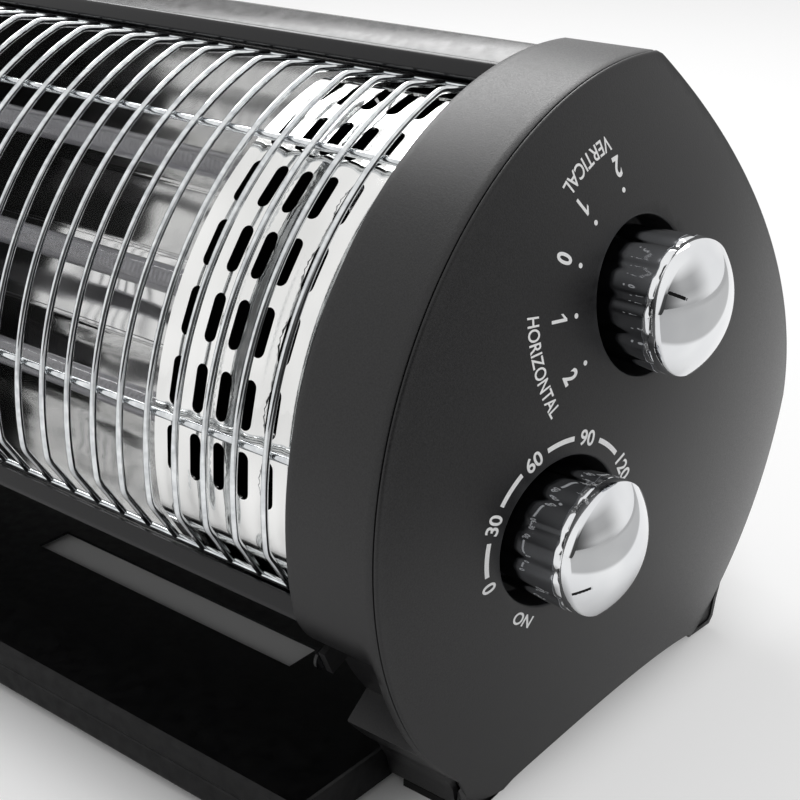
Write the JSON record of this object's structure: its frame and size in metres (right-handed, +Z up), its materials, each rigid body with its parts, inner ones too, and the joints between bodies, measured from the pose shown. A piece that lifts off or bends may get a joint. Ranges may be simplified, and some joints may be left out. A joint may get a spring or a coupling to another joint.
{
  "type": "parabolic heater",
  "caption": "Electric quartz heater lying on its side: round end caps, wire guard over a folded reflector, two chrome knobs on a domed end face.",
  "frame": {"origin": "on the floor under the middle of the body, within a few millimetres of the bounding box bottom centre", "axes": "+X along the body towards the control end, -Y the grille side, +Z up"},
  "size_m": [0.6723, 0.2434, 0.2254],
  "materials": {
    "satin_charcoal": "fine satin texture",
    "gloss_black": "gloss",
    "black_steel": "gloss black paint",
    "chrome": "polished",
    "mirror_steel": "bright polished",
    "reflector_sheet": "bright polished",
    "zinc_steel": "zinc plated",
    "quartz": "clear, smooth",
    "coil": "oxidised wire",
    "ceramic": "unglazed",
    "rubber": "matte",
    "switch_plastic": "plain",
    "brass": "plain"
  },
  "bodies": {
    "heater_body": {"control_cap_ring": "satin_charcoal", "far_cap_ring": "satin_charcoal", "control_cover": "satin_charcoal", "base_cover": "satin_charcoal", "tip_switch": "gloss_black", "tilt_switch": "gloss_black", "bottom_rail": "black_steel", "top_rail": "black_steel", "rear_shell": "black_steel", "base_tray": "black_steel", "control_flange_screw": "black_steel", "far_flange_screw": "black_steel", "control_cheek": "black_steel", "far_cheek": "black_steel", "control_end_wall": "black_steel", "far_end_wall": "black_steel", "wire_guard": "chrome", "control_shield": "mirror_steel", "far_shield": "mirror_steel", "reflector": "reflector_sheet", "lower_quartz_tube": "quartz", "middle_quartz_tube": "quartz", "upper_quartz_tube": "quartz", "lower_heating_coil": "coil", "middle_heating_coil": "coil", "upper_heating_coil": "coil", "lower_control_holder": "ceramic", "lower_far_holder": "ceramic", "middle_control_holder": "ceramic", "middle_far_holder": "ceramic", "upper_control_holder": "ceramic", "upper_far_holder": "ceramic", "control_front_foot": "rubber", "control_rear_foot": "rubber", "far_front_foot": "rubber", "far_rear_foot": "rubber", "cord_gland": "rubber", "base_foot_rear_upper": "rubber", "base_foot_front_upper": "rubber", "base_foot_front_lower": "rubber", "base_foot_rear_lower": "rubber", "timer_movement": "switch_plastic", "selector_switch": "switch_plastic", "terminal_block": "switch_plastic", "thermal_cutout": "brass"},
    "selector_control": {"selector_knob_skirt": "chrome", "selector_knob_cap": "chrome", "selector_shaft": "zinc_steel"},
    "timer_control": {"timer_knob_skirt": "chrome", "timer_knob_cap": "chrome", "timer_shaft": "zinc_steel"},
    "tip_over_plunger": {"tip_plunger": "switch_plastic"}
  },
  "joints": [
    {"name": "selector_turn", "type": "hinge", "parent": "heater_body", "child": "selector_control", "pos_m": [0.32, -0.01721, 0.1605], "axis": [-1, 0, 0], "range_deg": [-51, 52.8]},
    {"name": "timer_turn", "type": "hinge", "parent": "heater_body", "child": "timer_control", "pos_m": [0.32, -0.05643, 0.10012], "axis": [-1, 0, 0], "range_deg": [-44.3, 172.6]},
    {"name": "tip_plunger_press", "type": "slide", "parent": "heater_body", "child": "tip_over_plunger", "axis": [1, 0, 0], "range_m": [0, 0.004], "stiffness_N_per_m": 300}
  ]
}
